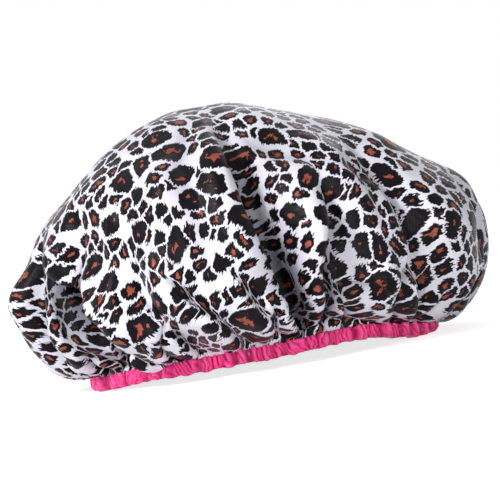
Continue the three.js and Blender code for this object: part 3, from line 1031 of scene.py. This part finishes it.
def pink_thread():
    """Spun polyester thread, a shade deeper than the satin, with the faint ribs of its twist."""
    material, tree = new_material("spun_polyester_thread")
    place = add_node(tree, "TexCoord").outputs["Object"]
    twist = add_node(tree, "TexWave", {"Vector": place, "Scale": 0.3 / MM, "Distortion": 1.0},
                     wave_type="BANDS", bands_direction="DIAGONAL").outputs["Fac"]
    tint = add_node(tree, "MixRGB", {"Fac": twist, "Color1": linear("#DA2E78"), "Color2": linear("#EE4C92")})
    thread = add_node(tree, "BsdfPrincipled", {
        "Base Color": tint, "Roughness": 0.6,
        "Normal": add_node(tree, "Bump", {"Height": twist, "Strength": 0.4, "Distance": 0.1 * MM}),
    })
    add_node(tree, "OutputMaterial", {"Surface": thread})
    return material


class CAP_OT_hem_elastic(bpy.types.Operator):
    """Runs the flat elastic round inside the binding, with its two ends lapped and sewn at the nape"""

    bl_idname = "cap.hem_elastic"
    bl_label = "Elastic"

    def execute(self, context):
        sizes, colours = context.scene.cap_sizes, context.scene.cap_colours
        steps = 240
        angle = angle_at(sizes, np.arange(steps) / steps)
        from_lap = np.abs(angle - math.pi) * sum(ring_radii(sizes)) / 2
        lap = 1 - eased(from_lap, 7 * MM, 14 * MM)
        low, tall, edge = 1.2 * MM, 5.5 * MM, 0.25 * MM
        rows = []
        for inward, high in ((0, edge), (0, tall / 2), (0, tall - edge), (0.3, tall), (0.7, tall),
                             (1, tall - edge), (1, tall / 2), (1, edge), (0.7, 0), (0.3, 0)):
            out = ELASTIC_FACE - ELASTIC_THICK * inward * (1 + lap)
            rows.append(hem_point(sizes, angle, out, low + high)[0])
        elastic = ring_object("woven_elastic", rows)
        turn_faces_out()
        elastic.data.materials.append(woven_elastic(colours))
        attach(elastic, "root")
        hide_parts("hem_elastic")
        return {"FINISHED"}


def woven_elastic(colours):
    """Woven elastic webbing: matt white, with the fine upright ribs of its covered rubber threads."""
    material, tree = new_material("woven_elastic_webbing")
    place = add_node(tree, "TexCoord").outputs["Object"]
    ribs = add_node(tree, "TexWave", {"Vector": place, "Scale": 0.12 / MM, "Distortion": 0.3},
                    wave_type="BANDS", bands_direction="Z").outputs["Fac"]
    weave = add_node(tree, "TexNoise", {"Vector": place, "Scale": 0.8 / MM, "Detail": 1.0})
    tint = add_node(tree, "MixRGB", {"Fac": ribs, "Color1": linear("#DAD7CF"), "Color2": colours.webbing[:]})
    height = add_node(tree, "Math", {0: weave, 1: 0.4, 2: ribs}, operation="MULTIPLY_ADD")
    webbing = add_node(tree, "BsdfPrincipled", {
        "Base Color": tint, "Roughness": 0.85,
        "Normal": add_node(tree, "Bump", {"Height": height, "Strength": 0.6, "Distance": 0.3 * MM}),
    })
    add_node(tree, "OutputMaterial", {"Surface": webbing})
    return material


# The photograph's view: level with the hem, and rolled so that the binding climbs to the right.
CAMERA_ELEVATION = math.radians(0.66)
CAMERA_ROLL = math.radians(10.1)
PHOTO_PIXELS = 500
MILLIMETRES_PER_PIXEL = 0.6
AIM_HIGH = 66.3 * MM
AIM_RIGHT = 0.1 * MM
FLOOR_SIZE = 12
# The world's share of light on the cap; to the camera it is white.
WORLD_LIGHT = 0.14
# Soft lamps: the name, place, size and watts, and the point they face.
LAMPS = (
    ("key_light", Vector((-0.8, -0.75, 0.85)), 0.22, 11.6),
    ("fill_light", Vector((0.75, -1.1, 0.06)), 0.25, 4.6),
    ("low_light", Vector((-0.45, -1.3, 0.03)), 0.15, 6.8),
    ("back_light", Vector((0.4, 1.0, 0.8)), 0.8, 4.0),
)
LIT_POINT = Vector((0, 0, 0.07))


def facing(direction):
    """The turn that points a camera or a lamp in a direction."""
    return direction.to_track_quat("-Z", "Y").to_matrix().to_4x4()


def seen_by(tree, *rays):
    """1 for light paths of these kinds and 0 for all others."""
    path = add_node(tree, "LightPath").outputs
    seen = path[rays[0]]
    for ray in rays[1:]:
        seen = add_node(tree, "Math", {0: seen, 1: path[ray]}, operation="MAXIMUM")
    return seen


class CAP_OT_studio(bpy.types.Operator):
    """Sets up the camera, the white floor and backdrop, and plain soft light"""

    bl_idname = "cap.studio"
    bl_label = "Studio"

    def execute(self, context):
        scene = context.scene
        scene.view_settings.view_transform = "Standard"
        distance = scene.cap_sizes.camera_distance
        aim = Vector((AIM_RIGHT, 0, AIM_HIGH))
        back = Vector((0, -math.cos(CAMERA_ELEVATION), math.sin(CAMERA_ELEVATION)))
        camera = bpy.data.cameras.new("camera")
        camera.lens = camera.sensor_width * distance / (PHOTO_PIXELS * MILLIMETRES_PER_PIXEL * MM)
        holder = bpy.data.objects.new("camera", camera)
        scene.collection.objects.link(holder)
        roll = Matrix.Rotation(-CAMERA_ROLL, 4, "Z")
        holder.matrix_world = Matrix.Translation(aim + back * distance) @ facing(-back) @ roll
        scene.camera = holder

        bpy.ops.object.select_all(action="DESELECT")
        bpy.ops.mesh.primitive_plane_add(size=FLOOR_SIZE)
        floor = context.active_object
        floor.name = "studio_floor"
        floor.data.materials.append(white_floor())

        world = bpy.data.worlds.new("studio")
        world.use_nodes = True
        tree = world.node_tree
        tree.nodes.clear()
        seen = seen_by(tree, "Is Camera Ray", "Is Glossy Ray", "Is Transmission Ray")
        strength = add_node(tree, "MapRange", {"Value": seen, "To Min": WORLD_LIGHT})
        sky = add_node(tree, "Background", {"Color": linear("#FFFFFF"), "Strength": strength})
        add_node(tree, "OutputWorld", {"Surface": sky})
        scene.world = world

        for name, place, size, power in LAMPS:
            lamp = bpy.data.lights.new(name, "AREA")
            lamp.size = size
            lamp.energy = power
            lamp_object = bpy.data.objects.new(name, lamp)
            lamp_object.matrix_world = Matrix.Translation(place) @ facing(LIT_POINT - place)
            scene.collection.objects.link(lamp_object)
        return {"FINISHED"}


def white_floor():
    """Matt white studio floor: white to the camera, with the cap's soft shadow kept on it."""
    material, tree = new_material("matt_white_floor")
    place = add_node(tree, "TexCoord").outputs["Object"]
    grain = add_node(tree, "TexNoise", {"Vector": place, "Scale": 40.0})
    tint = add_node(tree, "MixRGB", {"Fac": grain, "Color1": linear("#F4F4F4"), "Color2": linear("#FFFFFF")})
    away = add_node(tree, "VectorMath", {0: place}, operation="LENGTH").outputs["Value"]
    level = add_node(tree, "MapRange", {"Value": away, "From Min": 0.25, "From Max": 0.9, "To Min": 0.75})
    seen = seen_by(tree, "Is Camera Ray", "Is Glossy Ray")
    glow = add_node(tree, "Math", {0: seen, 1: level}, operation="MULTIPLY")
    floor = add_node(tree, "BsdfPrincipled", {
        "Base Color": tint, "Roughness": 0.9, "Specular IOR Level": 0.1,
        "Emission Color": linear("#FFFFFF"), "Emission Strength": glow,
    })
    add_node(tree, "OutputMaterial", {"Surface": floor})
    return material


class CAP_PT_panel(bpy.types.Panel):
    """Lists the cap's sizes, colours and pieces in the 3D view's sidebar"""

    bl_idname = "CAP_PT_panel"
    bl_label = "Shower Cap"
    bl_space_type = "VIEW_3D"
    bl_region_type = "UI"
    bl_category = "Cap"

    def draw(self, context):
        for group in (context.scene.cap_sizes, context.scene.cap_colours):
            for name in group.bl_rna.properties.keys():
                if name not in ("rna_type", "name"):
                    self.layout.prop(group, name)
        for operator in OPERATORS:
            self.layout.operator(operator.bl_idname)


OPERATORS = (
    CAP_OT_studio,
    CAP_OT_outer_crown,
    CAP_OT_inner_lining,
    CAP_OT_hem_binding,
    CAP_OT_hem_stitches,
    CAP_OT_hem_elastic,
)
CLASSES = (CapSizes, CapColours, *OPERATORS, CAP_PT_panel)


def register():
    for cls in CLASSES:
        bpy.utils.register_class(cls)
    bpy.types.Scene.cap_sizes = bpy.props.PointerProperty(type=CapSizes)
    bpy.types.Scene.cap_colours = bpy.props.PointerProperty(type=CapColours)


def unregister():
    del bpy.types.Scene.cap_colours
    del bpy.types.Scene.cap_sizes
    for cls in reversed(CLASSES):
        bpy.utils.unregister_class(cls)


def main():
    register()
    bpy.ops.cap.studio()
    bpy.ops.cap.outer_crown()
    bpy.ops.cap.inner_lining()
    bpy.ops.cap.hem_binding()
    bpy.ops.cap.hem_stitches()
    bpy.ops.cap.hem_elastic()


if __name__ == "__main__":
    main()
